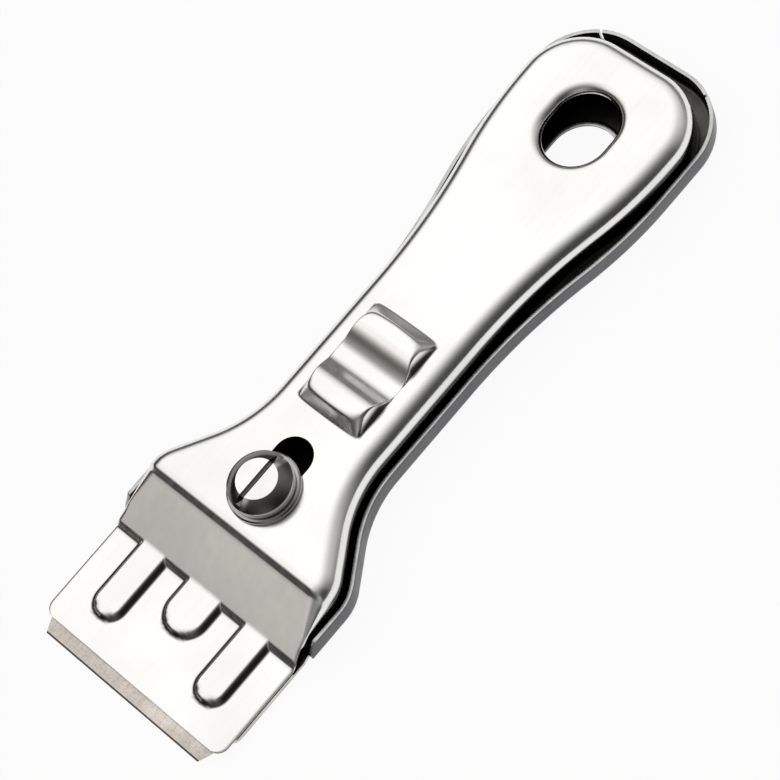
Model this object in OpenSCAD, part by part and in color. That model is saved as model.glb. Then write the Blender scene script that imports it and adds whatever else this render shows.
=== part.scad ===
/* [Sheet] */
// Thickness of the pressed sheet of both shells
sheet_t = 0.6; // [0.5:0.1:0.8]
// Outer radius of the upper shell's top edge
edge_r = 2.9; // [2.4:0.1:3.2]
// Outer radius of the fold between the lower shell's floor and wall
fold_r = 1.2; // [1:0.1:1.6]

/* [Nose] */
// Width of the nose plate and of the jaw below it
nose_w = 40; // [36:1:50]
// Length of the nose plate, front edge to the foot of the ramp
nose_l = 16.9; // [16:0.1:20]
// Radius of the nose plate's front corners
nose_corner_r = 2; // [1:0.1:3]
// Run of the ramp along the scraper
ramp_l = 11; // [9:0.5:14]
// Rise of the ramp, nose plate to top face
ramp_h = 7.35; // [6.6:0.05:8]
// Distance from the foot of the ramp back to where its edge starts to bend down
ramp_flat_l = 3.2; // [2:0.1:5]

/* [Handle] */
// Length of the upper shell, nose edge to tail
handle_l = 125.3; // [120:0.5:135]
// Set-in of each shoulder from the side of the nose plate
shoulder_inset = 0.4; // [0.2:0.1:1]
// Width of the neck
neck_w = 22; // [19.6:0.2:24]
// Width of the tail
tail_w = 31.6; // [28:0.2:36]
// Radius of each shoulder
shoulder_r = 7; // [5.5:0.5:9]
// Lean of the sides between shoulder and neck, in degrees
shoulder_lean = 33.5; // [28:0.5:38]
// Radius of the sides where they enter the neck
neck_r = 22; // [14:1:26]
// Hollow radius of the sides behind the neck
flare_r = 110; // [90:5:120]
// Full radius of the sides at the swelling tail
swell_r = 76; // [60:2:90]
// Straight stretch of side beside the hanging hole
tail_side_l = 1; // [0.5:0.5:3]
// Radius of the upper shell's tail corners
tail_r = 10.6; // [8:0.2:13]

/* [Lower shell] */
// Clearance between the two shells' walls
shell_gap = 0.7; // [0.6:0.05:1]
// Height of the rim above the table
rim_h = 4; // [3:0.1:5]
// Clearance between the two shells at the tail
tail_gap = 2.5; // [1.5:0.1:4]
// Radius of the lower shell's tail corners
lower_tail_r = 11.2; // [10:0.2:14]
// Lead of the lower shell's flare, which leaves room for the slide
flare_lead = 4.5; // [4.5:0.5:6]
// Set-back of the jaw from the nose plate's front edge
jaw_setback = 2.5; // [1:0.1:4]
// Distance from the foot of the ramp back to the start of the side walls
wall_start = 3.4; // [2.5:0.1:5]
// Lean of the side walls' front ends, bottom to rim
wall_lean = 1.9; // [0:0.1:3]
// Narrowing length from the side walls to the jaw
jaw_taper_l = 1.2; // [0.6:0.1:2]
// Width of the relief slits between side walls and tail wall
slit_w = 0.8; // [0.5:0.1:1.2]
// Place of the relief slits round the tail corners, in degrees
slit_angle = 37; // [33:1:42]

/* [Blade] */
// Thickness of the blade
blade_t = 0.3; // [0.2:0.05:0.4]
// Length of blade in front of the nose plate
blade_out = 2.4; // [1:0.1:4]
// Length of the blade, cutting edge to back
blade_l = 19; // [17:0.5:19]
// Width of the cutting edge
cutting_w = 34.4; // [28:0.2:36]
// Length of the slanted blade ends
clip_l = 6.4; // [3:0.2:8]
// Length of the ground bevel
bevel_l = 1.2; // [0.6:0.1:2]

/* [Blade pegs] */
// Diameter of the pegs
peg_d = 3; // [2.4:0.1:3.4]
// Height of the pegs above the blade
peg_h = 0.45; // [0.3:0.05:0.5]
// Distance of the pegs from the nose plate's front edge
peg_y = 8.5; // [8:0.1:9.5]
// Clearance round a peg in the blade
peg_clear = 0.1; // [0.05:0.05:0.3]

/* [Ribs] */
// Height of the ribs on the nose plate
rib_h = 0.95; // [0.7:0.05:1.1]
// Width of the two long ribs
long_rib_w = 6; // [5.6:0.1:7]
// Length of the two long ribs
long_rib_l = 12.3; // [12:0.1:13]
// Spacing of the long ribs and of the pegs inside them
rib_pitch = 23; // [21:0.5:26]
// Width of the middle rib
mid_rib_w = 8; // [6:0.5:10]
// Length of the middle rib
mid_rib_l = 7.2; // [6:0.1:10]

/* [Clamp screw] */
// Nominal diameter of the screw
screw_d = 6; // [5:0.5:6]
// Length of the screw below its head
screw_l = 9.2; // [8.4:0.1:9.2]
// Distance of the screw from the nose plate's front edge
screw_y = 35.2; // [34.5:0.1:36]
// Diameter of the head
head_d = 10.6; // [10:0.2:11.6]
// Height of the head
head_h = 3.15; // [2.8:0.05:3.6]
// Diameter of the flat on top of the head
head_flat_d = 6.8; // [6.2:0.1:7.4]
// Height of the bevel between the flat and the head's side
bevel_h = 1.45; // [1.2:0.05:1.8]
// Radius of the bevel's slight crown
bevel_r = 8; // [5:0.5:10]
// Width of the driver slot
drive_w = 0.9; // [0.7:0.1:1.4]
// Depth of the driver slot
drive_d = 1; // [0.7:0.1:1.4]
// Diameter of the washer
washer_d = 12; // [11:0.2:13]
// Thickness of the washer
washer_t = 0.9; // [0.7:0.1:1.2]
// Bevel round the washer's edges
washer_edge = 0.25; // [0.1:0.05:0.3]
// Clearance round the screw in the washer
washer_clear = 0.2; // [0.1:0.05:0.4]
// Outer diameter of the threaded bush
bush_d = 10; // [9:0.5:11]
// Diameter of the bush's spigot in the floor
spigot_d = 8; // [7.5:0.5:8.5]
// Running clearance of the screw in the bush
thread_clear = 0.05; // [0.03:0.01:0.1]
// Clearance of the screw at each side of the slot
slot_clear = 0.45; // [0.2:0.05:0.8]
// Travel of the upper shell along the slot
slide_travel = 6.4; // [3:0.1:6.5]

/* [Thumb grip] */
// Distance of the grip's middle from the nose plate's front edge
grip_y = 59.2; // [58:0.1:64]
// Length over both humps
grip_l = 19.6; // [16:0.2:20]
// Width of the humps
grip_w = 13.3; // [10:0.1:15]
// Height of the humps
grip_h = 2.4; // [2:0.1:3]
// Run of each steep end face
grip_face_l = 2.1; // [1.6:0.1:2.4]
// Length of each hump's crown
grip_crown_l = 2.2; // [1.8:0.1:3]
// Half length of the valley between the humps
grip_valley_l = 0.5; // [0.4:0.1:1.2]

/* [Hanging hole] */
// Distance of the upper hole's middle from the nose plate's front edge
hole_y = 110.1; // [108:0.1:112]
// Width of the upper hole
hole_w = 11.2; // [8:0.2:13]
// Extra length of both holes
hole_stretch = 2.2; // [1:0.2:4]
// Radius of the upper hole's rolled lip
lip_r = 1.4; // [1:0.1:2]
// Lead of the lower hole, which lines up at mid travel
hole_lead = 2.8; // [0:0.1:4]
// Width of the lower hole
lower_hole_w = 11.6; // [8:0.2:13]
// Radius of the lower hole's raised lip
lower_lip_r = 1.2; // [0.9:0.1:1.6]

/* [Hidden] */
$fn = 96;
// Steps of each arc of the walls, of each bend of the sheet and of each hump's wave
arc_steps = 6;
bend_steps = 4;
wave_steps = 8;

// Run of the ramp's sheet before trimming, in ramp lengths
ramp_run_share = 1.2;
// Share of the side bend at the flat lower end of the ramp
flat_bend_share = 0.1;
// Overrun of every cut past the face that it opens
overrun = sheet_t;
// Clearance of a press fit within one body
press_clear = peg_clear / 2;
// Clearance under the foot of the upper shell's walls
foot_clear = blade_t * 2 / 3;

// Heights
blade_z = sheet_t;
nose_z = blade_z + blade_t;
top_z = nose_z + sheet_t + ramp_h;
roof_z = top_z - sheet_t;
foot_z = nose_z + foot_clear;
rib_z = nose_z + sheet_t + rib_h;

// Half widths
nose_x = nose_w / 2;
shoulder_x = nose_x - shoulder_inset;
shoulder_w = 2 * shoulder_x;
neck_x = neck_w / 2;
tail_x = tail_w / 2;
grow = shell_gap + sheet_t;

// Places along the scraper, from the nose plate's front edge
ramp_y = nose_l + ramp_l;
lower_l = handle_l + tail_gap + sheet_t;
mid_y = (lower_l - blade_out) / 2;
wall_y = nose_l + wall_start;
lean_rise = (shoulder_r + neck_r) * (1 - cos(shoulder_lean));
lean_l = (shoulder_x - neck_x - lean_rise) / sin(shoulder_lean);
neck_y = ramp_y + (shoulder_r + neck_r) * sin(shoulder_lean) + lean_l * cos(shoulder_lean);
swell_y = handle_l - tail_r - tail_side_l;
swell_a = acos(1 - (tail_x - neck_x) / (flare_r + swell_r));
flare_y = swell_y - (flare_r + swell_r) * sin(swell_a);

// Rear form of each shell: lead of the flare, tail corner centre, tail corner radius
upper_rear = [0, [tail_x - tail_r, handle_l - tail_r], tail_r];
lower_rear = [flare_lead, [tail_x + grow - lower_tail_r, lower_l - lower_tail_r], lower_tail_r - grow];

function heading(a) = [cos(a), sin(a)];
function shoulder_c() = [shoulder_x - shoulder_r, ramp_y];
function neck_c() = [neck_x + neck_r, neck_y];
function flare_c(rear) = [neck_x + flare_r, flare_y - rear[0]];
function swell_c(rear) = [tail_x - swell_r, swell_y - rear[0]];

module both_sides() {
    children();
    mirror([1, 0, 0]) children();
}

// Places along a side's arc, each with its outward heading; bulge is 1 outwards and -1 inwards
function arc_places(c, r, from_a, to_a, bulge, first = 0) = [
    for (i = [first : arc_steps])
        let (a = from_a + (to_a - from_a) * i / arc_steps)
        [c + bulge * r * heading(a), a, 0, 1]
];

// Places along the right side of a shell's wall line, from front to tail: point, heading, drop of
// the sheet's edge and share of the bend
function side_places(front, rear) = concat(
    front,
    arc_places(shoulder_c(), shoulder_r, 0, shoulder_lean, 1),
    arc_places(neck_c(), neck_r, shoulder_lean, 0, -1),
    arc_places(flare_c(rear), flare_r, 0, -swell_a, -1),
    arc_places(swell_c(rear), swell_r, -swell_a, 0, 1, 1),
    arc_places(rear[1], rear[2], 0, 90, 1)
);

// Points of a bend about c, listed as distance outwards and height
function bend(c, r, from_a, to_a) = [
    for (i = [0 : bend_steps]) c + r * heading(from_a + (to_a - from_a) * i / bend_steps)
];

// Sheet folded along the places of both sides: a panel whose edge bends down into a wall. The two
// skins run from the wall's free edge to the panel, as distances outwards and heights.
module folded_sheet(side, outer, inner) {
    n = len(side);
    m = len(outer);
    corner = function (hand, skin, i, j) ((hand * 2 + skin) * n + i) * m + j;
    turn = function (hand, face) hand == 0 ? face : [for (k = [len(face) - 1 : -1 : 0]) face[k]];
    quad = function (hand, skin, i, j) turn((hand + skin) % 2, [
        corner(hand, skin, i, j), corner(hand, skin, i, j + 1),
        corner(hand, skin, i + 1, j + 1), corner(hand, skin, i + 1, j)
    ]);
    polyhedron(
        points = [for (hand = [1, -1], skin = [outer, inner], place = side, j = [0 : m - 1])
            let (
                corner = [skin[0][0], skin[m - 1][1]],
                bent = j > 0 ? corner + place[3] * (skin[j] - corner) - [0, place[2]] : skin[0],
                at = place[0] + bent[0] * heading(place[1])
            )
            [hand * at[0], at[1], bent[1]]],
        faces = concat(
            [for (hand = [0, 1], skin = [0, 1], i = [0 : n - 2], j = [0 : m - 2]) quad(hand, skin, i, j)],
            [for (hand = [0, 1], i = [0 : n - 2]) turn(hand, [
                corner(hand, 0, i, 0), corner(hand, 0, i + 1, 0),
                corner(hand, 1, i + 1, 0), corner(hand, 1, i, 0)
            ])],
            [for (skin = [0, 1], i = [0 : n - 2]) turn(skin, [
                corner(0, skin, i, m - 1), corner(1, skin, i, m - 1),
                corner(1, skin, i + 1, m - 1), corner(0, skin, i + 1, m - 1)
            ])],
            [for (j = [0 : m - 2]) [
                corner(0, 0, n - 1, j), corner(0, 0, n - 1, j + 1),
                corner(1, 0, n - 1, j + 1), corner(1, 0, n - 1, j)
            ]],
            [for (j = [0 : m - 2]) [
                corner(0, 1, n - 1, j + 1), corner(0, 1, n - 1, j),
                corner(1, 1, n - 1, j), corner(1, 1, n - 1, j + 1)
            ]],
            [[
                corner(0, 0, n - 1, 0), corner(1, 0, n - 1, 0),
                corner(1, 1, n - 1, 0), corner(0, 1, n - 1, 0)
            ]],
            [for (hand = [0, 1], j = [0 : m - 2]) turn(hand, [
                corner(hand, 0, 0, j + 1), corner(hand, 0, 0, j),
                corner(hand, 1, 0, j), corner(hand, 1, 0, j + 1)
            ])],
            [[
                corner(0, 0, 0, m - 1), corner(0, 1, 0, m - 1),
                corner(1, 1, 0, m - 1), corner(1, 0, 0, m - 1)
            ]]
        )
    );
}

// Quarter of a bent sheet whose outer radius is r
module quarter_bend(r) {
    intersection() {
        difference() {
            circle(r);
            circle(r - sheet_t);
        }
        square(r);
    }
}

// Outline in side view, given as length and height, carried across a width
module across(w) {
    translate([-w / 2, 0, 0]) rotate([90, 0, 90]) linear_extrude(w) children();
}

// Slot with round ends along the scraper
module long_hole(w, stretch) {
    square([w, stretch], center = true);
    for (end = [-1, 1]) translate([0, end * stretch / 2]) circle(d = w);
}

// Lip profile carried round a long hole
module carried_lip(w, stretch) {
    for (end = [0, 180]) rotate(end) {
        translate([0, stretch / 2, 0]) rotate_extrude(angle = 180) children();
        translate([0, stretch / 2, 0]) rotate([90, 0, 0]) linear_extrude(stretch) children();
    }
}

// Ramp of the upper shell: its edge is nearly flat at first and bends down towards the shoulder
function ramp_places() = [
    for (place = [[ramp_run_share * ramp_l, flat_bend_share], [ramp_l - ramp_flat_l, flat_bend_share]])
        [[shoulder_x, ramp_y - place[0]], 0, place[0] * ramp_h / ramp_l, place[1]]
];

// Wall and top bend of the upper shell, outer or inner skin, before its foot is trimmed
function upper_skin(wall) = concat(
    [[-wall, foot_z - ramp_h]],
    bend([-edge_r, top_z - edge_r], edge_r - wall, 0, 90)
);

// Plan of the nose plate or the jaw, from its front edge to its back
module nose_plan(front, back) {
    corner_x = nose_x - nose_corner_r;
    translate([-nose_x, front + nose_corner_r]) square([nose_w, back - front - nose_corner_r]);
    translate([-corner_x, front]) square([2 * corner_x, nose_corner_r]);
    for (side = [-1, 1]) translate([side * corner_x, front + nose_corner_r]) circle(nose_corner_r);
}

// Plan of one rib, shrunk by wall, from its round front end to under the ramp
module rib_plan(w, l, wall) {
    r = w / 2;
    front = nose_l - l + r;
    translate([0, front]) circle(r - wall);
    translate([wall - r, front]) square([w - 2 * wall, ramp_y - front]);
}

module rib_plans(wall) {
    for (side = [-1, 1]) translate([side * rib_pitch / 2, 0]) rib_plan(long_rib_w, long_rib_l, wall);
    rib_plan(mid_rib_w, mid_rib_l, wall);
}

// Side outline in front of the ramp's mid sheet, up to the top of the ribs
module rib_outline() {
    back = function (z) ramp_y - (top_z - sheet_t / 2 - z) * ramp_l / ramp_h;
    polygon([[0, nose_z], [back(nose_z), nose_z], [back(rib_z), rib_z], [0, rib_z]]);
}

// Side outline of one hump, shrunk by wall: a wave from the valley up to the crown and a steep end face
module hump_outline(wall) {
    foot = grip_l / 2;
    run = foot - grip_face_l - grip_crown_l - grip_valley_l;
    steep = atan(grip_h / grip_face_l);
    end = foot - wall / sin(steep);
    below = -sheet_t - overrun;
    wave = [for (i = [wall > 0 ? 1 : 0 : wave_steps])
        [grip_valley_l + run * i / wave_steps, grip_h * (1 - cos(180 * i / wave_steps)) / 2 - wall]];
    polygon(concat(
        [[wave[0][0], below]], wave,
        [[end - (grip_h - wall) / tan(steep), grip_h - wall], [end - below / tan(steep), below]]
    ));
}

// Both humps of the thumb grip, shrunk by wall and cut off at depth below the top face
module humps(wall, depth) {
    translate([0, grip_y, top_z]) intersection() {
        across(grip_w - 2 * wall) {
            hump_outline(wall);
            mirror([1, 0]) hump_outline(wall);
        }
        across(grip_w) translate([-grip_l, -depth]) square([2 * grip_l, 2 * grip_h]);
    }
}

module upper_shell() color("gainsboro") translate([0, -mid_y, 0]) {
    lip_w = hole_w + 2 * lip_r;
    slot_w = screw_d + 2 * slot_clear;
    difference() {
        union() {
            difference() {
                folded_sheet(side_places(ramp_places(), upper_rear), upper_skin(0), upper_skin(sheet_t));
                translate([-shoulder_w, 0, foot_z - 2 * ramp_h]) cube([2 * shoulder_w, lower_l, 2 * ramp_h]);
            }
            translate([0, 0, nose_z]) linear_extrude(sheet_t) nose_plan(0, nose_l + sheet_t);
            intersection() {
                translate([0, 0, nose_z]) linear_extrude(rib_z - nose_z) rib_plans(0);
                across(nose_w) rib_outline();
            }
            humps(0, sheet_t / 2);
        }
        translate([0, 0, nose_z - overrun]) linear_extrude(rib_h + overrun) rib_plans(sheet_t);
        humps(sheet_t, sheet_t + overrun);
        translate([0, screw_y + slide_travel / 2, roof_z - overrun])
            linear_extrude(sheet_t + 2 * overrun) long_hole(slot_w, slide_travel);
        translate([0, hole_y, roof_z - overrun])
            linear_extrude(sheet_t + 2 * overrun) long_hole(lip_w, hole_stretch);
    }
    translate([0, hole_y, top_z - lip_r]) carried_lip(lip_w, hole_stretch)
        translate([lip_w / 2, 0]) mirror([1, 0]) quarter_bend(lip_r);
}

// Wall and floor fold of the lower shell, outer or inner skin, upside down
function lower_skin(wall) = concat(
    [[grow - wall, -rim_h]],
    bend([grow - fold_r, -fold_r], fold_r - wall, 0, 90)
);

// Floor in front of the side walls, narrowing to the jaw
module jaw_plan() {
    floor_x = shoulder_x + grow - fold_r;
    taper_y = wall_y - jaw_taper_l;
    nose_plan(jaw_setback, taper_y - jaw_taper_l);
    polygon([
        [-floor_x, wall_y], [floor_x, wall_y], [nose_x, taper_y], [nose_x, taper_y - 2 * jaw_taper_l],
        [-nose_x, taper_y - 2 * jaw_taper_l], [-nose_x, taper_y]
    ]);
}

module lower_shell() color("darkgray") translate([0, -mid_y, 0]) {
    lip_w = lower_hole_w + 2 * lower_lip_r;
    difference() {
        union() {
            mirror([0, 0, 1])
                folded_sheet(
                    side_places([[[shoulder_x, wall_y], 0, 0, 1]], lower_rear),
                    lower_skin(0), lower_skin(sheet_t)
                );
            linear_extrude(sheet_t) jaw_plan();
        }
        across(2 * (shoulder_w + grow)) polygon([
            [nose_l, fold_r], [wall_y - overrun, fold_r], [wall_y + wall_lean, rim_h],
            [wall_y + wall_lean, rim_h + overrun], [nose_l, rim_h + overrun]
        ]);
        both_sides() translate(lower_rear[1]) rotate(slit_angle)
            translate([lower_tail_r - fold_r, -slit_w / 2, fold_r])
            cube([2 * fold_r, slit_w, rim_h]);
        translate([0, hole_y - hole_lead, -overrun])
            linear_extrude(sheet_t + 2 * overrun) long_hole(lip_w, hole_stretch);
        translate([0, screw_y, -overrun])
            cylinder(d = spigot_d + 2 * press_clear, h = sheet_t + 2 * overrun);
        both_sides() translate([rib_pitch / 2, peg_y, -overrun])
            cylinder(d = peg_d + 2 * press_clear, h = sheet_t + 2 * overrun);
    }
    translate([0, hole_y - hole_lead, lower_lip_r]) carried_lip(lip_w, hole_stretch)
        translate([lip_w / 2, 0]) rotate(180) quarter_bend(lower_lip_r);
}

module blade() color("lightslategray") translate([0, -mid_y, 0]) {
    back = blade_l - blade_out;
    clip = clip_l - blade_out;
    difference() {
        intersection() {
            translate([0, 0, blade_z]) linear_extrude(blade_t) polygon([
                [-cutting_w / 2, -blade_out], [cutting_w / 2, -blade_out],
                [nose_x, clip], [nose_x, back], [-nose_x, back], [-nose_x, clip]
            ]);
            across(nose_w + 2 * overrun) translate([-blade_out, blade_z]) polygon([
                [0, blade_t / 2], [bevel_l, 0], [blade_l + overrun, 0],
                [blade_l + overrun, blade_t], [bevel_l, blade_t]
            ]);
        }
        both_sides() translate([rib_pitch / 2, peg_y, 0])
            cylinder(d = peg_d + 2 * peg_clear, h = top_z);
    }
}

module blade_pegs() color("silver") both_sides()
    translate([rib_pitch / 2, peg_y - mid_y, 0]) cylinder(d = peg_d, h = nose_z + peg_h);

module threaded_bush() color("silver") translate([0, screw_y - mid_y, 0]) difference() {
    union() {
        cylinder(d = spigot_d, h = sheet_t);
        translate([0, 0, sheet_t]) cylinder(d = bush_d, h = roof_z - sheet_t);
    }
    translate([0, 0, -overrun]) cylinder(d = screw_d, h = top_z);
}

module screw_washer() color("silver") translate([0, screw_y - mid_y, top_z]) difference() {
    rotate_extrude() polygon([
        [0, 0], [washer_d / 2 - washer_edge, 0], [washer_d / 2, washer_edge],
        [washer_d / 2, washer_t - washer_edge], [washer_d / 2 - washer_edge, washer_t], [0, washer_t]
    ]);
    translate([0, 0, -overrun]) cylinder(d = screw_d + 2 * washer_clear, h = washer_t + 2 * overrun);
}

module clamp_screw() color("whitesmoke") translate([0, screw_y - mid_y, top_z + washer_t]) {
    flat_r = head_flat_d / 2;
    side_h = head_h - bevel_h;
    across_bevel = [head_d / 2 - flat_r, -bevel_h];
    half_chord = norm(across_bevel) / 2;
    inwards = [-bevel_h, flat_r - head_d / 2] / norm(across_bevel);
    bevel_c = [flat_r, head_h] + across_bevel / 2 + inwards * sqrt(pow(bevel_r, 2) - pow(half_chord, 2));
    difference() {
        rotate_extrude() intersection() {
            square([head_d / 2, head_h]);
            union() {
                square([head_d / 2, side_h]);
                square([flat_r, head_h]);
                translate(bevel_c) circle(bevel_r);
            }
        }
        translate([-drive_w / 2, -head_d, head_h - drive_d]) cube([drive_w, 2 * head_d, head_h]);
    }
    translate([0, 0, -screw_l]) cylinder(d = screw_d - 2 * thread_clear, h = screw_l);
}

upper_shell();
lower_shell();
blade();
blade_pegs();
threaded_bush();
screw_washer();
clamp_screw();
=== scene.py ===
import math
import bmesh
import bpy
import numpy as np
from mathutils import Matrix, Vector


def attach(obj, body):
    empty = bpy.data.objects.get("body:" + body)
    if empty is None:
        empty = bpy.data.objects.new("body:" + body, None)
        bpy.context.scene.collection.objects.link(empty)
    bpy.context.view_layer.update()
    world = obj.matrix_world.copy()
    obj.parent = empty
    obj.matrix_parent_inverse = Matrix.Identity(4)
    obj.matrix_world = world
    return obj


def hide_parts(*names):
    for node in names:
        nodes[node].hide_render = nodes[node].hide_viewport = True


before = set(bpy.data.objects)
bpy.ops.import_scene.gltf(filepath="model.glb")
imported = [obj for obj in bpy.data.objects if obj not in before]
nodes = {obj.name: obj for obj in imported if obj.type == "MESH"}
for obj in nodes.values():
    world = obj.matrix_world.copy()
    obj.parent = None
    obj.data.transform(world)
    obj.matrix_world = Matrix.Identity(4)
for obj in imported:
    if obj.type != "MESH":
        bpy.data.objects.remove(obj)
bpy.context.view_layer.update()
mm = 0.001

# plan that both shells share, in mm; lengths run from the nose plate's front edge to the tail
handle = {
    "originY": 63.0, "noseL": 16.9, "rampL": 11.0, "rampH": 7.35, "length": 125.3,
    "shoulderX": 19.6, "neckX": 11.0, "tailX": 15.8, "shoulderR": 7.0, "lean": math.radians(33.5),
    "neckR": 22.0, "flareR": 110.0, "swellR": 76.0, "tailSide": 1.0, "tailR": 10.6, "sheet": 0.6,
    "lineStart": -10.0, "arcPoints": 240,
}
meshing = {  # lengths in metres; the slots are those of the sheet's inside and of its cut edge
    "seamGap": 0.5e-6, "leastEdge": 0.2e-6, "sharpAngle": math.radians(55), "insideSlot": 1, "edgeSlot": 2,
}


def softOver(u, w):  # zero below -w, u itself above w, a parabola between them
    return np.where(u < -w, 0.0, np.where(u > w, u, (u + w) ** 2 / (4 * w)))


def softLower(a, b, w):  # the lower of two heights, rounded where they cross
    return a - softOver(a - b, w)


def smooth(u):  # 0 to 1 with level ends
    u = np.clip(u, 0, 1)
    return u * u * (3 - 2 * u)


def fadeIn(v, start, length):  # 0 up to start, then to 1 over the length
    return smooth((v - start) / length)


def band(v, start, rise, end, fall):  # 0 up to start, 1 after the rise, back to 0 at the end over the fall
    return fadeIn(v, start, rise) * smooth((end - v) / fall)


def quarter(n):  # n angles from 0 to a right angle
    return np.linspace(0, math.pi / 2, n)


def places(spans):  # (from, to, count) spans and single places, joined without repeats
    return np.unique(np.concatenate([np.linspace(*s) if isinstance(s, tuple) else [s] for s in spans]))


def columns(spans):  # the same as shares of the last place
    at = places(spans)
    return at / at[-1]


def sideLine(lead, tailCentre, tailR, inset):
    # right outline as a chain of arcs (shoulder, neck, flare, swell, tail corner), moved inwards by inset
    h = handle
    rampY = h["noseL"] + h["rampL"]
    leanRise = (h["shoulderR"] + h["neckR"]) * (1 - math.cos(h["lean"]))
    leanL = (h["shoulderX"] - h["neckX"] - leanRise) / math.sin(h["lean"])
    neckY = rampY + (h["shoulderR"] + h["neckR"]) * math.sin(h["lean"]) + leanL * math.cos(h["lean"])
    swellY = h["length"] - h["tailR"] - h["tailSide"]
    swellA = math.acos(1 - (h["tailX"] - h["neckX"]) / (h["flareR"] + h["swellR"]))
    flareY = swellY - (h["flareR"] + h["swellR"]) * math.sin(swellA)

    def arc(x, y, r, fromA, toA, bulge):
        a = np.linspace(fromA, toA, h["arcPoints"])
        return np.c_[x + bulge * r * np.cos(a), y + bulge * r * np.sin(a), a]

    chain = np.vstack([
        [[h["shoulderX"], h["lineStart"], 0.0]],
        arc(h["shoulderX"] - h["shoulderR"], rampY, h["shoulderR"], 0, h["lean"], 1),
        arc(h["neckX"] + h["neckR"], neckY, h["neckR"], h["lean"], 0, -1),
        arc(h["neckX"] + h["flareR"], flareY - lead, h["flareR"], 0, -swellA, -1),
        arc(h["tailX"] - h["swellR"], swellY - lead, h["swellR"], -swellA, 0, 1),
        arc(tailCentre[0], tailCentre[1], tailR, 0, math.pi / 2, 1),
        [[0.0, tailCentre[1] + tailR, math.pi / 2]],
    ])
    at = chain[:, :2] - inset * np.c_[np.cos(chain[:, 2]), np.sin(chain[:, 2])]
    return at, chain[:, 2]


def tailWay(line, startY):  # length along the outline at each of its points, and at startY
    step = np.r_[0, np.cumsum(np.hypot(*np.diff(line, axis=0).T))]
    return step, np.interp(startY, line[:, 1], step)


def alongTail(line, turn, startY, shares):
    # points of the outline at shares of the way from startY round to the middle of the tail
    step, start = tailWay(line, startY)
    s = start + shares * (step[-1] - start)
    return np.c_[np.interp(s, step, line[:, 0]), np.interp(s, step, line[:, 1])], np.interp(s, step, turn)


def tailShare(line, turn, startY, wanted):
    # share of that way at which the tail corner, the last arc of the outline, has turned to an angle
    step, start = tailWay(line, startY)
    corner = -handle["arcPoints"] - 1
    return (np.interp(wanted, turn[corner:], step[corner:]) - start) / (step[-1] - start)


def halfLoop(halfW, stretch, centreY, shares):
    # right half of a long hole, front point round to rear point, with the outward heading of its edge
    arcL = halfW * math.pi / 2
    s = shares * (2 * arcL + stretch)
    front, rear = np.clip(s / halfW, 0, math.pi / 2), np.clip((s - arcL - stretch) / halfW, 0, math.pi / 2)
    side = np.clip(s - arcL, 0, stretch) - stretch / 2
    a = front + rear - math.pi / 2
    at = np.c_[halfW * np.cos(a), centreY + side + halfW * np.sin(a)]
    return at, np.c_[np.cos(a), np.sin(a)]


def slotHalf(y, halfW, fromY, toY):  # half width of a long hole at each y, zero outside it
    beyond = np.maximum(np.maximum(fromY - y, y - toY), 0)
    return np.sqrt(np.maximum(halfW ** 2 - beyond ** 2, 0))


def roundedFront(halfW, r, front, y):  # half width at each y of a plate with round front corners
    ahead = np.maximum(r + front - y, 0)
    return halfW - r + np.sqrt(np.maximum(r ** 2 - ahead ** 2, 0))


def across(inner, outer, share):  # x and y at shares of the way from the inner to the outer outline of each row
    at = inner[:, None] + share[..., None] * (outer - inner)[:, None]
    return at[..., 0], at[..., 1]


def rolledRim(rim, rimOut, lipR, roll, baseZ, way):  # arc from a hole's wide edge inwards, and up or down by way
    inwards = lipR * np.sin(roll)
    return np.dstack([rim[:, :1] - rimOut[:, :1] * inwards, rim[:, 1:] - rimOut[:, 1:] * inwards,
                      baseZ + way * lipR * (1 - np.cos(roll)) + 0 * rim[:, :1]])[:, ::-1]


def quads(rows, cols, keep=None, flip=False):
    i = np.arange(rows * cols).reshape(rows, cols)
    q = np.stack([i[:-1, :-1], i[:-1, 1:], i[1:, 1:], i[1:, :-1]], -1)
    q = q[keep] if keep is not None else q.reshape(-1, 4)
    return q[:, ::-1] if flip else q


def bothHalves(patches, flip=False):
    # patches are (points, keep) grids of the right half; each is mirrored to the left with its faces turned
    verts, faces, count = [], [], 0
    for points, keep in patches:
        for hand in (1, -1):
            p = points * [hand, 1, 1]
            verts.append(p.reshape(-1, 3))
            faces.append(quads(*points.shape[:2], keep, flip=(hand < 0) != flip) + count)
            count += verts[-1].shape[0]
    return np.vstack(verts), np.vstack(faces)


def makePiece(name, verts, faces, body, stands, materials):
    # places the mm grid in the frame, merges its seams, drops unused corners and hands it to its body
    mesh = bpy.data.meshes.new(name)
    mesh.from_pydata((verts - [0, handle["originY"], 0]) * mm, [], faces.tolist())
    work = bmesh.new()
    work.from_mesh(mesh)
    bmesh.ops.remove_doubles(work, verts=work.verts, dist=meshing["seamGap"])
    bmesh.ops.delete(work, geom=[v for v in work.verts if not v.link_faces], context="VERTS")
    bmesh.ops.dissolve_degenerate(work, edges=work.edges, dist=meshing["leastEdge"])
    work.to_mesh(mesh)
    work.free()
    piece = bpy.data.objects.new(name, mesh)
    bpy.context.scene.collection.objects.link(piece)
    for m in materials:
        mesh.materials.append(m)
    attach(piece, body)
    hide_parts(*stands)
    return piece


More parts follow.
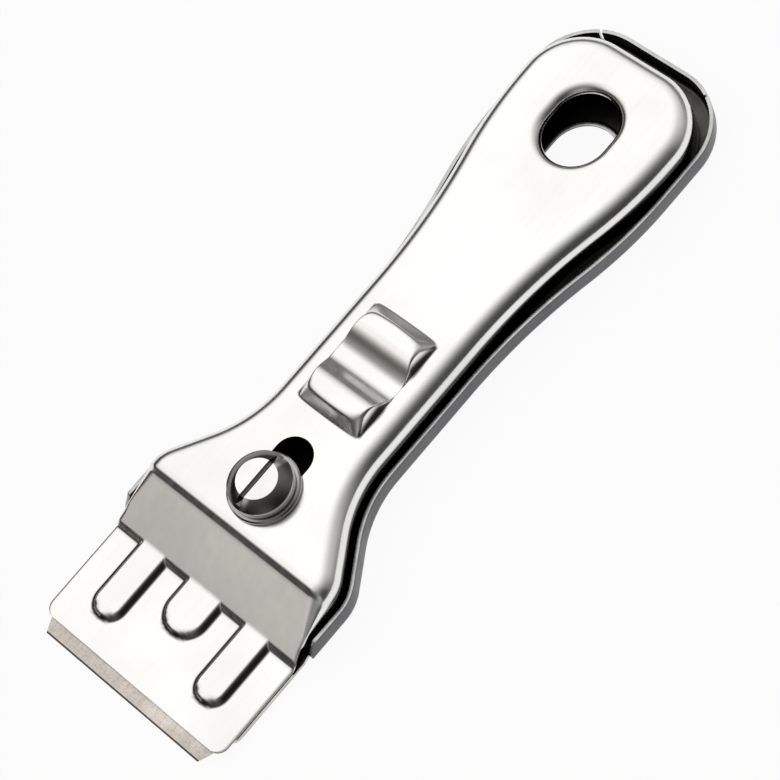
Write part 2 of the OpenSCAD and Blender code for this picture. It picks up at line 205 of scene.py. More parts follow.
def giveThickness(piece, thick, even, edgeW, skins, topZ):
    # one sheet thickness inwards, with the cut edge as a face of its own; its corners with the skins are
    # broken by edgeW, up to the height topZ
    wall = piece.modifiers.new("sheet", "SOLIDIFY")
    wall.thickness, wall.offset = thick * mm, -1
    wall.use_even_offset, wall.use_quality_normals = even, True
    wall.material_offset, wall.material_offset_rim = meshing["insideSlot"], meshing["edgeSlot"]
    made = bpy.data.meshes.new_from_object(piece.evaluated_get(bpy.context.evaluated_depsgraph_get()))
    piece.modifiers.clear()
    made.name = piece.name
    piece.data = made
    work = bmesh.new()
    work.from_mesh(made)
    meets = [[k, meshing["edgeSlot"]] for k in skins]
    corner = [e for e in work.edges if sorted(f.material_index for f in e.link_faces) in meets
              and max(v.co.z for v in e.verts) < topZ * mm]
    bmesh.ops.bevel(work, geom=corner, offset=edgeW * mm, offset_type="OFFSET", segments=2, profile=0.5,
                    affect="EDGES", clamp_overlap=True, material=skins[0])
    work.to_mesh(made)
    work.free()
    made.shade_smooth()
    made.set_sharp_from_angle(angle=meshing["sharpAngle"])


# finishes

def newGroup(name, inputs, outputs):
    tree = bpy.data.node_groups.new(name, "ShaderNodeTree")
    for label, kind, value in inputs:
        s = tree.interface.new_socket(label, in_out="INPUT", socket_type=kind)
        s.default_value = value
    for label, kind in outputs:
        tree.interface.new_socket(label, in_out="OUTPUT", socket_type=kind)
    return tree, tree.nodes.new("NodeGroupInput"), tree.nodes.new("NodeGroupOutput")


def addNode(tree, kind, **values):  # values are the node's own settings or its inputs
    n = tree.nodes.new("ShaderNode" + kind)
    for k, v in values.items():
        if hasattr(n, k):
            setattr(n, k, v)
        else:
            n.inputs[k].default_value = v
    return n


def steelGrain():
    # fine lines of the rolled sheet along one direction, and soft cloudy marks of polishing
    tree, given, out = newGroup(
        "steelGrain",
        [("Line Scale", "NodeSocketFloat", 900.0), ("Line Stretch", "NodeSocketVector", (1.0, 0.06, 1.0)),
         ("Cloud Scale", "NodeSocketFloat", 70.0)],
        [("Lines", "NodeSocketFloat"), ("Clouds", "NodeSocketFloat"), ("Pits", "NodeSocketFloat")])
    link = tree.links.new
    where = addNode(tree, "TexCoord")
    lay = addNode(tree, "VectorMath", operation="MULTIPLY")
    link(where.outputs["Object"], lay.inputs[0])
    link(given.outputs["Line Stretch"], lay.inputs[1])
    lines = addNode(tree, "TexNoise", Detail=4.0, Roughness=0.6)
    link(lay.outputs[0], lines.inputs["Vector"])
    link(given.outputs["Line Scale"], lines.inputs["Scale"])
    clouds = addNode(tree, "TexNoise", Detail=3.0, Roughness=0.5)
    link(where.outputs["Object"], clouds.inputs["Vector"])
    link(given.outputs["Cloud Scale"], clouds.inputs["Scale"])
    pits = addNode(tree, "TexNoise", Scale=2600.0, Detail=2.0)
    link(where.outputs["Object"], pits.inputs["Vector"])
    link(lines.outputs["Fac"], out.inputs["Lines"])
    link(clouds.outputs["Fac"], out.inputs["Clouds"])
    link(pits.outputs["Fac"], out.inputs["Pits"])
    return tree


grainGroup = steelGrain()
grainUse = {"cloudRange": (0.3, 0.62), "lineRange": (0.3, 0.7), "bumpDepth": 0.0001}

finishes = {
    "polishedSteel": {"light": (0.84, 0.832, 0.815), "dark": (0.77, 0.763, 0.75), "rough": (0.14, 0.22),
                      "lines": 700.0, "stretch": (1.0, 0.05, 1.0), "clouds": 60.0, "bump": 0.02},
    "satinSteel": {"light": (0.125, 0.123, 0.13), "dark": (0.085, 0.084, 0.09), "rough": (0.26, 0.4),
                   "lines": 900.0, "stretch": (1.0, 0.04, 1.0), "clouds": 80.0, "bump": 0.06},
    # the shells' insides are painted near black as painted shade in the cavity between them
    "insideShadeSteel": {"light": (0.07, 0.068, 0.064), "dark": (0.035, 0.034, 0.033), "rough": (0.4, 0.6),
                    "lines": 700.0, "stretch": (1.0, 0.05, 1.0), "clouds": 90.0, "bump": 0.05},
    "trayInsideShade": {"light": (0.09, 0.086, 0.08), "dark": (0.045, 0.043, 0.04), "rough": (0.3, 0.45),
                   "lines": 700.0, "stretch": (1.0, 0.05, 1.0), "clouds": 90.0, "bump": 0.05},
    "sheetEdge": {"light": (0.2, 0.195, 0.188), "dark": (0.13, 0.126, 0.12), "rough": (0.25, 0.4),
                  "lines": 2200.0, "stretch": (1.0, 1.0, 0.1), "clouds": 200.0, "bump": 0.1},
    "rimEdge": {"light": (0.6, 0.6, 0.59), "dark": (0.42, 0.42, 0.41), "rough": (0.25, 0.4),
                "lines": 2200.0, "stretch": (1.0, 1.0, 0.1), "clouds": 200.0, "bump": 0.1},
    "bladeSteel": {"light": (0.70, 0.645, 0.595), "dark": (0.54, 0.495, 0.45), "rough": (0.3, 0.46),
                   "lines": 1800.0, "stretch": (1.0, 0.06, 1.0), "clouds": 120.0, "bump": 0.08},
    "platedSteel": {"light": (0.42, 0.415, 0.405), "dark": (0.3, 0.295, 0.29), "rough": (0.1, 0.2),
                    "lines": 900.0, "stretch": (0.3, 0.3, 1.0), "clouds": 140.0, "bump": 0.03},
    "screwSteel": {"light": (0.82, 0.815, 0.805), "dark": (0.72, 0.715, 0.705), "rough": (0.1, 0.2),
                   "lines": 900.0, "stretch": (0.3, 0.3, 1.0), "clouds": 140.0, "bump": 0.03},
}


def remap(tree, source, low, high, eased=False, to=(0.0, 1.0)):  # 0 at low and 1 at high, or the range given
    n = addNode(tree, "MapRange", interpolation_type="SMOOTHSTEP" if eased else "LINEAR")
    for label, v in {"From Min": low, "From Max": high, "To Min": to[0], "To Max": to[1]}.items():
        n.inputs[label].default_value = v
    tree.links.new(source, n.inputs["Value"])
    return n.outputs["Result"]


def stepped(tree, source, low, high):  # mask, 0 below low and 1 above high, both in mm
    return remap(tree, source, low * mm, high * mm, eased=True)


def combine(tree, operation, a, b=None):  # one arithmetic step of sockets and numbers
    n = addNode(tree, "Math", operation=operation)
    for i, v in enumerate([a] if b is None else [a, b]):
        if isinstance(v, (int, float)):
            n.inputs[i].default_value = v
        else:
            tree.links.new(v, n.inputs[i])
    return n.outputs[0]


def product(tree, a, b):
    return combine(tree, "MULTIPLY", a, b)


def less(tree, a):
    return combine(tree, "SUBTRACT", 1.0, a)


def blend(tree, mask, low, high):  # colour low where the mask is 0, high where it is 1
    n = addNode(tree, "MixRGB")
    n.inputs["Color1"].default_value, n.inputs["Color2"].default_value = (*low, 1), (*high, 1)
    tree.links.new(mask, n.inputs["Fac"])
    return n.outputs["Color"]


def darken(tree, colour, mask, to):  # colour times a tint where the mask is 1
    n = addNode(tree, "MixRGB", blend_type="MULTIPLY")
    tree.links.new(mask, n.inputs["Fac"])
    tree.links.new(colour, n.inputs["Color1"])
    if isinstance(to, tuple):
        n.inputs["Color2"].default_value = (*to, 1)
    else:
        tree.links.new(to, n.inputs["Color2"])
    return n.outputs["Color"]


def objectPlace(tree):  # object coordinates, whole and by axis
    where = addNode(tree, "TexCoord").outputs["Object"]
    axes = addNode(tree, "SeparateXYZ")
    tree.links.new(where, axes.inputs[0])
    return where, axes.outputs


# the dark line along the blade's cutting edge is painted shade
bladeMarks = {"grains": (0.5, 0.7), "grainTint": (0.8, 0.78, 0.76), "edgeY": (-65.16, -65.06),
              "edgeShadeTint": (0.12, 0.12, 0.12)}


def bladeGrainAndEdgeShade(tree, colour, grain):
    # dull grains all over, and painted shade as a dark line along the cutting edge
    b, (_, axes) = bladeMarks, objectPlace(tree)
    colour = darken(tree, colour, remap(tree, grain.outputs["Pits"], *b["grains"]), b["grainTint"])
    return darken(tree, colour, less(tree, stepped(tree, axes["Y"], *b["edgeY"])), b["edgeShadeTint"])


# painted light on the screw head: shade on the bevel, highlights by the slot, shade in the slot, shadow above the
# washer
screwMarks = {
    "axisY": -27.8, "bevelR": (3.36, 3.48), "bevelZ": (11.38, 11.46), "bevelShadeTint": (0.2, 0.195, 0.19),
    "highlightFrom": (0.4, 0.6), "highlightTo": (1.0, 1.7), "highlightShare": 0.7, "slotX": (0.451, 0.47), "slotZ": (12.8, 12.86),
    "slotDeepZ": (11.92, 12.1), "slotDeep": (0.9, 0.83, 0.76), "slotWallShade": (0.2, 0.165, 0.145),
    "footZ": (10.05, 10.25), "footShadowTint": (0.12, 0.11, 0.105),
}


def turnedHead(tree, colour, grain):
    # painted shade as a dark band on the bevel round the flat, lifted by a painted highlight beside the driver
    # slot; painted shade on the slot's upper walls and a warmer tint at its floor; a painted shadow on the head's
    # foot above the washer
    m, (where, axes) = screwMarks, objectPlace(tree)
    x, z = axes["X"], axes["Z"]
    fromAxis = addNode(tree, "VectorMath", operation="MULTIPLY_ADD")
    fromAxis.inputs[1].default_value, fromAxis.inputs[2].default_value = (1, 1, 0), (0, -m["axisY"] * mm, 0)
    tree.links.new(where, fromAxis.inputs[0])
    radius = addNode(tree, "VectorMath", operation="LENGTH")
    tree.links.new(fromAxis.outputs[0], radius.inputs[0])
    bevel = product(tree, stepped(tree, radius.outputs["Value"], *m["bevelR"]), stepped(tree, z, *m["bevelZ"]))
    # painted highlight beside the driver slot
    litPatch = product(tree, stepped(tree, x, *m["highlightFrom"]), less(tree, stepped(tree, x, *m["highlightTo"])))
    bevel = product(tree, bevel, less(tree, product(tree, litPatch, m["highlightShare"])))
    colour = darken(tree, colour, bevel, m["bevelShadeTint"])
    # painted shade on the slot's upper walls
    slotShade = blend(tree, stepped(tree, z, *m["slotDeepZ"]), m["slotDeep"], m["slotWallShade"])
    inSlot = less(tree, stepped(tree, combine(tree, "ABSOLUTE", x), *m["slotX"]))
    slot = product(tree, inSlot, less(tree, stepped(tree, z, *m["slotZ"])))
    colour = darken(tree, colour, slot, slotShade)
    # painted shadow on the head's foot above the washer
    return darken(tree, colour, less(tree, stepped(tree, z, *m["footZ"])), m["footShadowTint"])


# painted shade on the upper shell: its side wall, and the bands round the ribs and humps
shellMarks = {"wallZ": (5.9, 6.6), "wallY": (-36, -34), "wallShadeTint": (0.24, 0.24, 0.25),
              "paintedShadeTint": (0.2, 0.195, 0.19)}


def paintedWallShade(tree, colour, grain):
    # painted shade: the side wall below the polished bend is darkened, and painted shade from a point attribute
    # lies round the ribs and humps
    m, (_, axes) = shellMarks, objectPlace(tree)
    wall = product(tree, less(tree, stepped(tree, axes["Z"], *m["wallZ"])), stepped(tree, axes["Y"], *m["wallY"]))
    left = addNode(tree, "Attribute", attribute_name="paintedShade")
    colour = darken(tree, colour, left.outputs["Fac"], m["paintedShadeTint"])
    return darken(tree, colour, wall, m["wallShadeTint"])


marks = {"bladeSteel": bladeGrainAndEdgeShade, "screwSteel": turnedHead, "polishedSteel": paintedWallShade}


def steel(name):
    # metal whose colour and gloss drift with the clouds and whose surface carries the grain lines
    f = finishes[name]
    mat = bpy.data.materials.new(name)
    mat.use_nodes = True
    tree = mat.node_tree
    link = tree.links.new
    shader = tree.nodes["Principled BSDF"]
    shader.inputs["Metallic"].default_value = 1.0
    grain = tree.nodes.new("ShaderNodeGroup")
    grain.node_tree = grainGroup
    grain.inputs["Line Scale"].default_value = f["lines"]
    grain.inputs["Line Stretch"].default_value = f["stretch"]
    grain.inputs["Cloud Scale"].default_value = f["clouds"]
    lines, clouds, pits = (grain.outputs[label] for label in ("Lines", "Clouds", "Pits"))
    colour = blend(tree, remap(tree, clouds, *grainUse["cloudRange"]), f["dark"], f["light"])
    if name in marks:
        colour = marks[name](tree, colour, grain)
    link(colour, shader.inputs["Base Color"])
    link(remap(tree, lines, *grainUse["lineRange"], to=f["rough"]), shader.inputs["Roughness"])
    bump = addNode(tree, "Bump", Strength=f["bump"], Distance=grainUse["bumpDepth"])
    link(combine(tree, "ADD", lines, pits), bump.inputs["Height"])
    link(bump.outputs["Normal"], shader.inputs["Normal"])
    return mat


steels = {name: steel(name) for name in finishes}
print("finishes:", len(steels))


# upper shell

upper = {
    "noseX": 20.0, "noseCorner": 2.0, "noseFade": 3.0, "faceZ": 8.85, "plateZ": 1.5, "footZ": 1.1, "edgeR": 2.9,
    "edgeBreak": 0.2, "breakTop": 2.0, "plateEase": (0.42, 0.42), "easeFade": 2.0,
    "rampFoot": 0.4, "rampHead": 0.9, "footKick": (0.32, 1.3), "headKick": (0.35, 1.3),
    "bendY": (20.1, 27.9), "bendLeast": 0.004, "wallY": 21.8,
    "ribH": 0.95, "longRibX": 11.5, "longRibR": 3.0, "longRibL": 12.3, "midRibR": 4.0, "midRibL": 7.2,
    "ribSide": (-0.4, 0.6), "ribEase": 0.25, "ribBlend": 0.25, "slotR": 3.45, "slotY": (35.2, 41.6),
    "gripY": 59.2, "gripHalfL": 9.8, "gripHalfW": 6.65, "gripH": 2.4, "gripFace": 1.8, "gripCrown": 2.5,
    "gripValley": 0.5, "gripRound": 1.4, "gripSteep": 5.0, "gripEase": (0.55, 0.2),
    "holeY": 110.1, "holeR": 5.6, "holeStretch": 2.2, "lipR": 1.7, "lipTurn": math.radians(80),
    # painted shade in bands, each as start, rise, end and fall
    "ribBand": (-0.55, 0.35, 0.65, 0.4), "ribBandEnd": 0.7, "slopeBand": (0.6, 1.2, 4.4, 1.6), "slopeShare": 0.75,
    "slopeSide": 0.5, "humpBand": (2.2, 1.6, 9.5, 0.6), "edgeBand": (6.03, 0.3, 6.95, 0.3),
    # rows of the grid along the scraper and columns across it, as (from, to, count) spans and single places
    "noseRows": ((2, 3.8, 4), (3.8, 7.8, 28), (7.8, 8.8, 4), (8.8, 13.8, 30), (13.8, 16, 8), (16, 19.6, 30),
                 (19.6, 23, 18), (23, 26.6, 8), (26.6, 29, 18)),
    "gripRows": ((48.9, 52, 24), (52, 66.4, 56), (66.4, 69.5, 24)),
    "ribCols": (0, 1.2, 2.2, 2.8, (3.1, 4.6, 13), 5.2, 6.0, 6.8, 7.4, (7.9, 9.5, 14), 10.5, 11.5, 12.5,
                (13.5, 15.1, 14), 15.8, 16.5, 17.1),
    "gripCols": ((0, 5.2, 16), (5.2, 7.1, 33), (7.1, 7.85, 8)), "toGrip": (29, 17), "toPlain": (70, 12),
    "tailRows": 92, "bendCols": 15, "wallCols": 5, "lipCols": 10,
}


def faceRise(y):
    # height of the sheet along the scraper: plate, ramp and top face; the ramp is a little steeper at its ends
    u, h = upper, handle
    (footH, footL), (headH, headL) = u["footKick"], u["headKick"]
    foot, head = h["noseL"], h["noseL"] + h["rampL"]
    run = softOver(y - foot, u["rampFoot"]) - softOver(y - head, u["rampHead"])
    kicks = footH * smooth((y - foot) / footL) + headH * smooth((y - head + headL) / headL)
    return u["plateZ"] + (h["rampH"] - footH - headH) / h["rampL"] * run + kicks


def ribDepths(x, y):  # distance inside the round-ended outline of the long rib and of the middle rib
    u = upper
    for ribX, r, l in ((u["longRibX"], u["longRibR"], u["longRibL"]), (0.0, u["midRibR"], u["midRibL"])):
        yield r - np.hypot(x - ribX, np.minimum(y - (handle["noseL"] - l + r), 0))


def ribRise(x, y):  # each rib has a straight side with eased ends
    u = upper
    low, high = u["ribSide"]
    lift = np.zeros_like(x)
    for depth in ribDepths(x, y):
        climb = softOver(depth - low, u["ribEase"]) - softOver(depth - high, u["ribEase"])
        lift = np.maximum(lift, u["ribH"] * climb / (high - low))
    return lift


def gripRise(x, y):
    # two mirrored humps: a wave from the valley to the crown, cut off by steep ends and sides that meet in
    # round corners, all eased together
    u = upper
    along = np.abs(y - u["gripY"])
    waveL = u["gripHalfL"] - u["gripFace"] - u["gripCrown"] - u["gripValley"]
    wave = u["gripH"] * (1 - np.cos(math.pi * np.clip((along - u["gripValley"]) / waveL, 0, 1))) / 2
    c, (topEase, footEase) = u["gripRound"], u["gripEase"]
    end = u["gripH"] / u["gripFace"] * (u["gripHalfL"] - along) + c
    side = u["gripSteep"] * (u["gripHalfW"] - np.abs(x)) + c
    wall = np.where(np.minimum(end, side) > 0, end + side - np.hypot(end, side), 0) - c
    return softOver(softLower(wave, wall, topEase), footEase)


def paintedShadeAt(x, y):
    # painted shade on the ribs' sides, along the humps' upper edges and on the rear hump's front slope, 0 to 1
    u = upper
    x, away = np.abs(x), y - u["gripY"]
    ribs = np.maximum.reduce([band(depth, *u["ribBand"]) for depth in ribDepths(x, y)])
    ribs = ribs * smooth((handle["noseL"] + u["ribBandEnd"] - y) / u["ribBandEnd"])
    edges = band(np.abs(away), *u["humpBand"]) * band(x, *u["edgeBand"])
    slope = u["slopeShare"] * band(away, *u["slopeBand"]) * smooth((u["gripHalfW"] - x) / u["slopeSide"])
    return np.maximum.reduce([ribs, edges, slope])


def topHeight(x, y):  # the ribs run into the ramp with a small blend
    k = upper["ribBlend"]
    base = faceRise(y)
    ribs = ribRise(x, y) * (1 + k / upper["ribH"])
    return base + softOver(ribs - (base - upper["plateZ"]) - k, k) + gripRise(x, y)


def buildUpper():
    u, h = upper, handle
    line, turn = sideLine(0.0, (h["tailX"] - h["tailR"], h["length"] - h["tailR"]), h["tailR"], u["edgeR"])
    a, b = u["slotY"]
    rimFront = u["holeY"] - u["holeStretch"] / 2 - u["holeR"] - u["lipR"]
    noseRows, gripRows = places(u["noseRows"]), places(u["gripRows"])
    y = np.unique(np.round(np.concatenate([
        u["noseCorner"] * (1 - np.cos(quarter(7))), noseRows, np.linspace(noseRows[-1], a - u["slotR"], 8),
        a - u["slotR"] * np.cos(quarter(9)), np.linspace(a, b, 9), b + u["slotR"] * np.sin(quarter(13)),
        np.linspace(b + u["slotR"], gripRows[0], 6), gripRows, np.linspace(gripRows[-1], rimFront, 26)]), 4))
    side = np.c_[np.interp(y, line[:, 1], line[:, 0]), y]
    inner = np.c_[slotHalf(y, u["slotR"], a, b), y]
    shares = np.linspace(0, 1, u["tailRows"])[1:]
    tail, tailTurn = alongTail(line, turn, rimFront, shares)
    rim, rimOut = halfLoop(u["holeR"] + u["lipR"], u["holeStretch"], u["holeY"], np.r_[0, shares])
    outer, inner = np.vstack([side, tail]), np.vstack([inner, rim[1:]])
    ang = np.r_[np.interp(y, line[:, 1], turn), tailTurn][:, None]
    rowY = outer[:, 1]

    # the nose plate is a little wider than the shoulders and has round front corners
    wider = roundedFront(u["noseX"], u["noseCorner"], 0.0, rowY) - h["shoulderX"]
    outer[:, 0] += wider * (1 - fadeIn(rowY, h["noseL"], u["noseFade"]))

    # share of the way across for each column: one spread suits the ribs, one the grip, one the plain tail
    ribs, grip = columns(u["ribCols"]), columns(u["gripCols"])
    plain = np.linspace(0, 1, ribs.size)
    toGrip, toPlain = fadeIn(rowY, *u["toGrip"])[:, None], fadeIn(rowY, *u["toPlain"])[:, None]
    share = (ribs * (1 - toGrip) + grip * toGrip) * (1 - toPlain) + plain * toPlain
    x, yy = across(inner, outer, share)
    face = np.dstack([x, yy, topHeight(x, yy)])

    # edge strip: flat at first, then an arc down into the wall; the arc grows up the ramp from nothing
    rise = np.where(np.arange(rowY.size) < y.size, faceRise(rowY), u["faceZ"])[:, None]
    bendFrom, bendTo = u["bendY"]
    r = u["edgeR"] * np.clip((rowY - bendFrom) / (bendTo - bendFrom), u["bendLeast"], 1)[:, None]
    flat = u["edgeR"] - r
    s = np.linspace(0, 1, u["bendCols"])[1:] * (flat + r * math.pi / 2)
    roll = np.maximum(s - flat, 0) / r
    out = np.minimum(s, flat) + r * np.sin(roll)
    easeL, easeSlope = u["plateEase"]  # the plate's rim is pressed down
    ease = np.maximum(out - u["edgeR"] + easeL, 0) * easeSlope
    ease = ease * (1 - fadeIn(rowY, bendFrom, u["easeFade"])[:, None])
    bent = np.dstack([outer[:, :1] + out * np.cos(ang), outer[:, 1:] + out * np.sin(ang),
                      rise - r * (1 - np.cos(roll)) - ease])
    drop = np.linspace(0, 1, u["wallCols"])[1:] * fadeIn(rowY, bendFrom, u["wallY"] - bendFrom)[:, None]
    wall = np.repeat(bent[:, -1:], drop.shape[1], axis=1)
    wall[..., 2] = wall[..., 2] * (1 - drop) + u["footZ"] * drop
    skin = np.concatenate([face, bent, wall], axis=1)

    # the hole's rim is rolled nearly a quarter turn from the face down
    lip = rolledRim(rim, rimOut, u["lipR"], np.linspace(0, u["lipTurn"], u["lipCols"]), u["faceZ"], -1)
    verts, faces = bothHalves([(skin, None), (lip, None)])
    piece = makePiece("upperShell", verts, faces, "slider", ["upper_shell"],
                      [steels["polishedSteel"], steels["insideShadeSteel"], steels["sheetEdge"]])
    at = np.array([v.co for v in piece.data.vertices]) / mm
    # amount of painted shade at each point, kept as a point attribute for the material
    left = paintedShadeAt(at[:, 0], at[:, 1] + h["originY"]).astype(np.float32)
    piece.data.attributes.new("paintedShade", "FLOAT", "POINT").data.foreach_set("value", left)
    giveThickness(piece, h["sheet"], True, u["edgeBreak"], [0], u["breakTop"])
    return piece


upperShell = buildUpper()
print("upper shell:", len(upperShell.data.polygons), "faces")


# lower shell

lower = {
    "grow": 1.3, "foldR": 1.2, "rimZ": 4.0, "lead": 4.5, "length": 128.4, "tailR": 11.2, "jawFront": 2.5,
    "jawX": 20.0, "jawCorner": 2.0, "wallY": 20.3, "wallLean": (19.7, 22.2), "slitTurn": math.radians(60.627615),
    "edgeBreak": 0.17, "breakTop": 5.0, "spigotR": 4.05, "spigotY": 35.2,
    "pegX": 11.5, "pegY": 8.5, "pegR": 1.62, "pegDip": 0.07, "pegEase": (0.1, 0.16),
    "holeY": 107.3, "holeR": 5.8, "holeStretch": 2.2, "lipR": 1.2,
    # rows and columns of the grid
    "jawRows": ((4.5, 6.6, 4), (6.6, 10.4, 26)), "rowGap": 0.01, "midY": 52, "toPlain": (12, 14),
    "pegCols": ((0, 9.5, 6), (9.5, 13.5, 27), (13.5, 20, 6)), "tailRows": 80, "foldCols": 9, "wallCols": 5,
}


def buildLower():
    # tray: the floor's underside runs from the middle to the fold, a quarter turn up, then the wall to its rim
    w, h = lower, handle
    centre = (h["tailX"] + w["grow"] - w["tailR"], w["length"] - w["tailR"])
    line, turn = sideLine(w["lead"], centre, w["tailR"] - w["grow"], w["foldR"] - w["grow"])
    rimFront = w["holeY"] - w["holeStretch"] / 2 - w["holeR"] - w["lipR"]
    s, r = w["spigotY"], w["spigotR"]
    leanFrom, leanTo = w["wallLean"]
    jawRows = places(w["jawRows"])
    y = np.unique(np.round(np.concatenate([
        w["jawFront"] + w["jawCorner"] * (1 - np.cos(quarter(7))), jawRows,
        np.linspace(jawRows[-1], w["wallY"], 8), np.linspace(w["wallY"], leanTo, 7),
        np.linspace(leanTo, s - r, 14),
        s - r * np.cos(quarter(10)), s + r * np.sin(quarter(10)), np.linspace(s + r, w["midY"], 18),
        np.linspace(w["midY"], rimFront, 40)]), 4))
    side = np.c_[np.interp(y, line[:, 1], line[:, 0]), y]
    jaw = y < w["wallY"] - w["rowGap"]
    side[:, 0] = np.where(jaw, roundedFront(w["jawX"], w["jawCorner"], w["jawFront"], y), side[:, 0])
    inner = np.c_[slotHalf(y, r, s, s), y]
    cut = tailShare(line, turn, rimFront, w["slitTurn"])
    shares = np.unique(np.r_[np.linspace(0, 1, w["tailRows"])[1:], cut])
    tail, tailTurn = alongTail(line, turn, rimFront, shares)
    rim, rimOut = halfLoop(w["holeR"] + w["lipR"], w["holeStretch"], w["holeY"], np.r_[0, shares])
    outer, inner = np.vstack([side, tail]), np.vstack([inner, rim[1:]])
    ang = np.r_[np.interp(y, line[:, 1], turn), tailTurn][:, None]
    rowY = outer[:, 1]

    # floor with the rivet ends of the pegs a little sunk, then the fold and the wall
    pegs = columns(w["pegCols"])
    toPlain = fadeIn(rowY, *w["toPlain"])[:, None]
    share = pegs * (1 - toPlain) + np.linspace(0, 1, pegs.size) * toPlain
    x, yy = across(inner, outer, share)
    pegOut, pegFade = w["pegEase"]
    dip = w["pegDip"] * smooth((w["pegR"] + pegOut - np.hypot(x - w["pegX"], yy - w["pegY"])) / pegFade)
    floor = np.dstack([x, yy, dip])
    roll = quarter(w["foldCols"])[1:]
    out = w["foldR"] * np.sin(roll)
    fold = np.dstack([outer[:, :1] + out * np.cos(ang), outer[:, 1:] + out * np.sin(ang),
                      w["foldR"] * (1 - np.cos(roll)) + 0 * ang])
    lean = np.clip((rowY - leanFrom) / (leanTo - leanFrom), 0, 1)
    height = (w["foldR"] + (w["rimZ"] - w["foldR"]) * lean)[:, None]
    climb = np.linspace(0, 1, w["wallCols"])[1:]
    wall = np.repeat(fold[:, -1:], climb.size, axis=1)
    wall[..., 2] = w["foldR"] * (1 - climb) + height * climb
    skin = np.concatenate([floor, fold, wall], axis=1)

    # the jaw has no fold, and a slit, one row of the grid wide, parts the wall at each tail corner
    keep = np.ones((skin.shape[0] - 1, skin.shape[1] - 1), bool)
    keep[:np.count_nonzero(jaw), pegs.size - 1:] = False
    keep[y.size + np.searchsorted(shares, cut), pegs.size + roll.size - 1:] = False
    lip = rolledRim(rim, rimOut, w["lipR"], quarter(w["foldCols"]), 0.0, 1)
    verts, faces = bothHalves([(skin, keep), (lip, None)], flip=True)
    piece = makePiece("lowerShell", verts, faces, "base", ["lower_shell"],
                      [steels["satinSteel"], steels["trayInsideShade"], steels["rimEdge"]])
    giveThickness(piece, h["sheet"], False, w["edgeBreak"], [0, 1], w["breakTop"])
    return piece


lowerShell = buildLower()
print("lower shell:", len(lowerShell.data.polygons), "faces")

keptNodes = {"blade": "bladeSteel", "blade_pegs": "satinSteel", "threaded_bush": "satinSteel",
             "screw_washer": "platedSteel", "clamp_screw": "screwSteel"}
for node, finish in keptNodes.items():
    nodes[node].data.materials.clear()
    nodes[node].data.materials.append(steels[finish])


# stage, light and camera

studio = {
    "floorHalf": 6.0, "floorZ": -0.00002, "floorPoints": 13, "floorColour": (0.93, 0.93, 0.93),
    "shadowShare": 0.07, "room": (0.045, 0.045, 0.046),
    # soft boxes of the room: direction of the middle, colour, and how tightly the light is gathered there
    "boxes": {
        "key": ((-0.476, 0.156, 0.866), (1.17, 1.17, 1.165), 2.2),
        "front": ((-0.476, -0.6, 0.64), (0.48, 0.44, 0.4), 14.0),
        "rear": ((-0.3, 0.9, 0.32), (0.16, 0.16, 0.16), 3.0),
        "fill": ((0.5, 0.75, 0.42), (0.34, 0.34, 0.34), 8.0),
        "side": ((0.6, -0.72, 0.36), (0.34, 0.34, 0.34), 12.0),
    },
    "flag": (0.76, 0.95),  # the key is screened off between these shares of straight left
    "horizon": (0.27, 0.47),  # and the key and the front box fade between these heights above the horizon
}


def buildFloor():
    half, n = studio["floorHalf"], studio["floorPoints"]
    gx, gy = np.meshgrid(np.linspace(-half, half, n), np.linspace(-half, half, n))
    points = np.dstack([gx, gy, np.full_like(gx, studio["floorZ"])]).reshape(-1, 3)
    mesh = bpy.data.meshes.new("floorSheet")
    mesh.from_pydata(points, [], quads(n, n).tolist())
    floor = bpy.data.objects.new("floorSheet", mesh)
    bpy.context.scene.collection.objects.link(floor)
    mat = bpy.data.materials.new("floorPaper")
    mat.use_nodes = True
    tree = mat.node_tree
    link = tree.links.new
    tree.nodes.clear()
    out = addNode(tree, "OutputMaterial")
    paper = addNode(tree, "BsdfDiffuse", Color=(*studio["floorColour"], 1))
    white = addNode(tree, "Emission")
    ray = addNode(tree, "LightPath")
    seen = combine(tree, "MAXIMUM", ray.outputs["Is Camera Ray"], ray.outputs["Is Glossy Ray"])
    seen = combine(tree, "MAXIMUM", seen, ray.outputs["Is Transmission Ray"])
    mix = addNode(tree, "MixShader")
    link(product(tree, seen, 1 - studio["shadowShare"]), mix.inputs["Fac"])
    link(paper.outputs[0], mix.inputs[1])
    link(white.outputs[0], mix.inputs[2])
    side = addNode(tree, "NewGeometry")
    clear = addNode(tree, "BsdfTransparent")
    both = addNode(tree, "MixShader")  # seen from below the floor is clear
    link(side.outputs["Backfacing"], both.inputs["Fac"])
    link(mix.outputs[0], both.inputs[1])
    link(clear.outputs[0], both.inputs[2])
    link(both.outputs[0], out.inputs["Surface"])
    mesh.materials.append(mat)


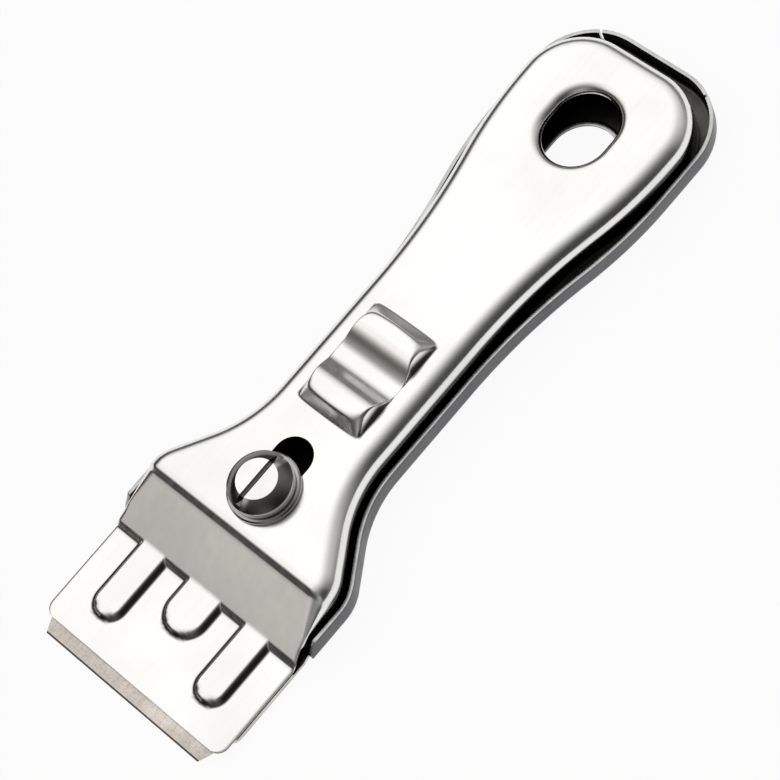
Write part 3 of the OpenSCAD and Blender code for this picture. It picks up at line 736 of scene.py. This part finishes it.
def buildLight():
    # the room is dim and each soft box fades with the cosine of the angle from its middle
    world = bpy.data.worlds.new("studioRoom")
    bpy.context.scene.world = world
    world.use_nodes = True
    tree = world.node_tree
    link = tree.links.new
    where = addNode(tree, "TexCoord")
    axes = addNode(tree, "SeparateXYZ")
    link(where.outputs["Generated"], axes.inputs[0])
    flagFrom, flagTo = studio["flag"]
    flag = remap(tree, axes.outputs["X"], -flagTo, -flagFrom, eased=True)
    horizon = remap(tree, axes.outputs["Z"], *studio["horizon"], eased=True)
    screens = {"key": (flag, horizon), "front": (horizon,)}
    room = addNode(tree, "CombineXYZ")
    for i, v in enumerate(studio["room"]):
        room.inputs[i].default_value = v
    total = room.outputs[0]
    for name, (aim, colour, gather) in studio["boxes"].items():
        near = addNode(tree, "VectorMath", operation="DOT_PRODUCT")
        near.inputs[1].default_value = Vector(aim).normalized()
        link(where.outputs["Generated"], near.inputs[0])
        fade = combine(tree, "POWER", combine(tree, "MAXIMUM", near.outputs["Value"], 0.0), gather)
        for screen in screens.get(name, ()):
            fade = product(tree, fade, screen)
        added = addNode(tree, "VectorMath", operation="MULTIPLY_ADD")
        added.inputs[1].default_value = colour
        link(fade, added.inputs[0])
        link(total, added.inputs[2])
        total = added.outputs[0]
    link(total, tree.nodes["Background"].inputs["Color"])


shot = {  # turn vector and shift of the lens in mm, from the place where the plate's outline was read
    "turn": (2.61486, 0.91361, -0.59033), "shift": (-63.79348, 67.08417, 409.99852),
    "from": (0.0, 97.33, -8.85), "lens": 128.1, "sensor": 36.0, "clip": (0.01, 50),
}


def buildCamera():
    turn = Vector(shot["turn"])
    look = Matrix.Rotation(turn.length, 3, turn.normalized()).transposed()
    place = (-(look @ Vector(shot["shift"])) - Vector(shot["from"])) * mm
    lens = bpy.data.cameras.new("photoView")
    lens.lens, lens.sensor_width = shot["lens"], shot["sensor"]
    lens.clip_start, lens.clip_end = shot["clip"]
    camera = bpy.data.objects.new("photoView", lens)
    bpy.context.scene.collection.objects.link(camera)
    camera.matrix_world = Matrix.Translation(place) @ (look @ Matrix.Diagonal((1, -1, -1))).to_4x4()
    bpy.context.scene.camera = camera


buildFloor()
buildLight()
buildCamera()
bpy.context.scene.view_settings.view_transform = "Standard"
print("stage, light and camera set")
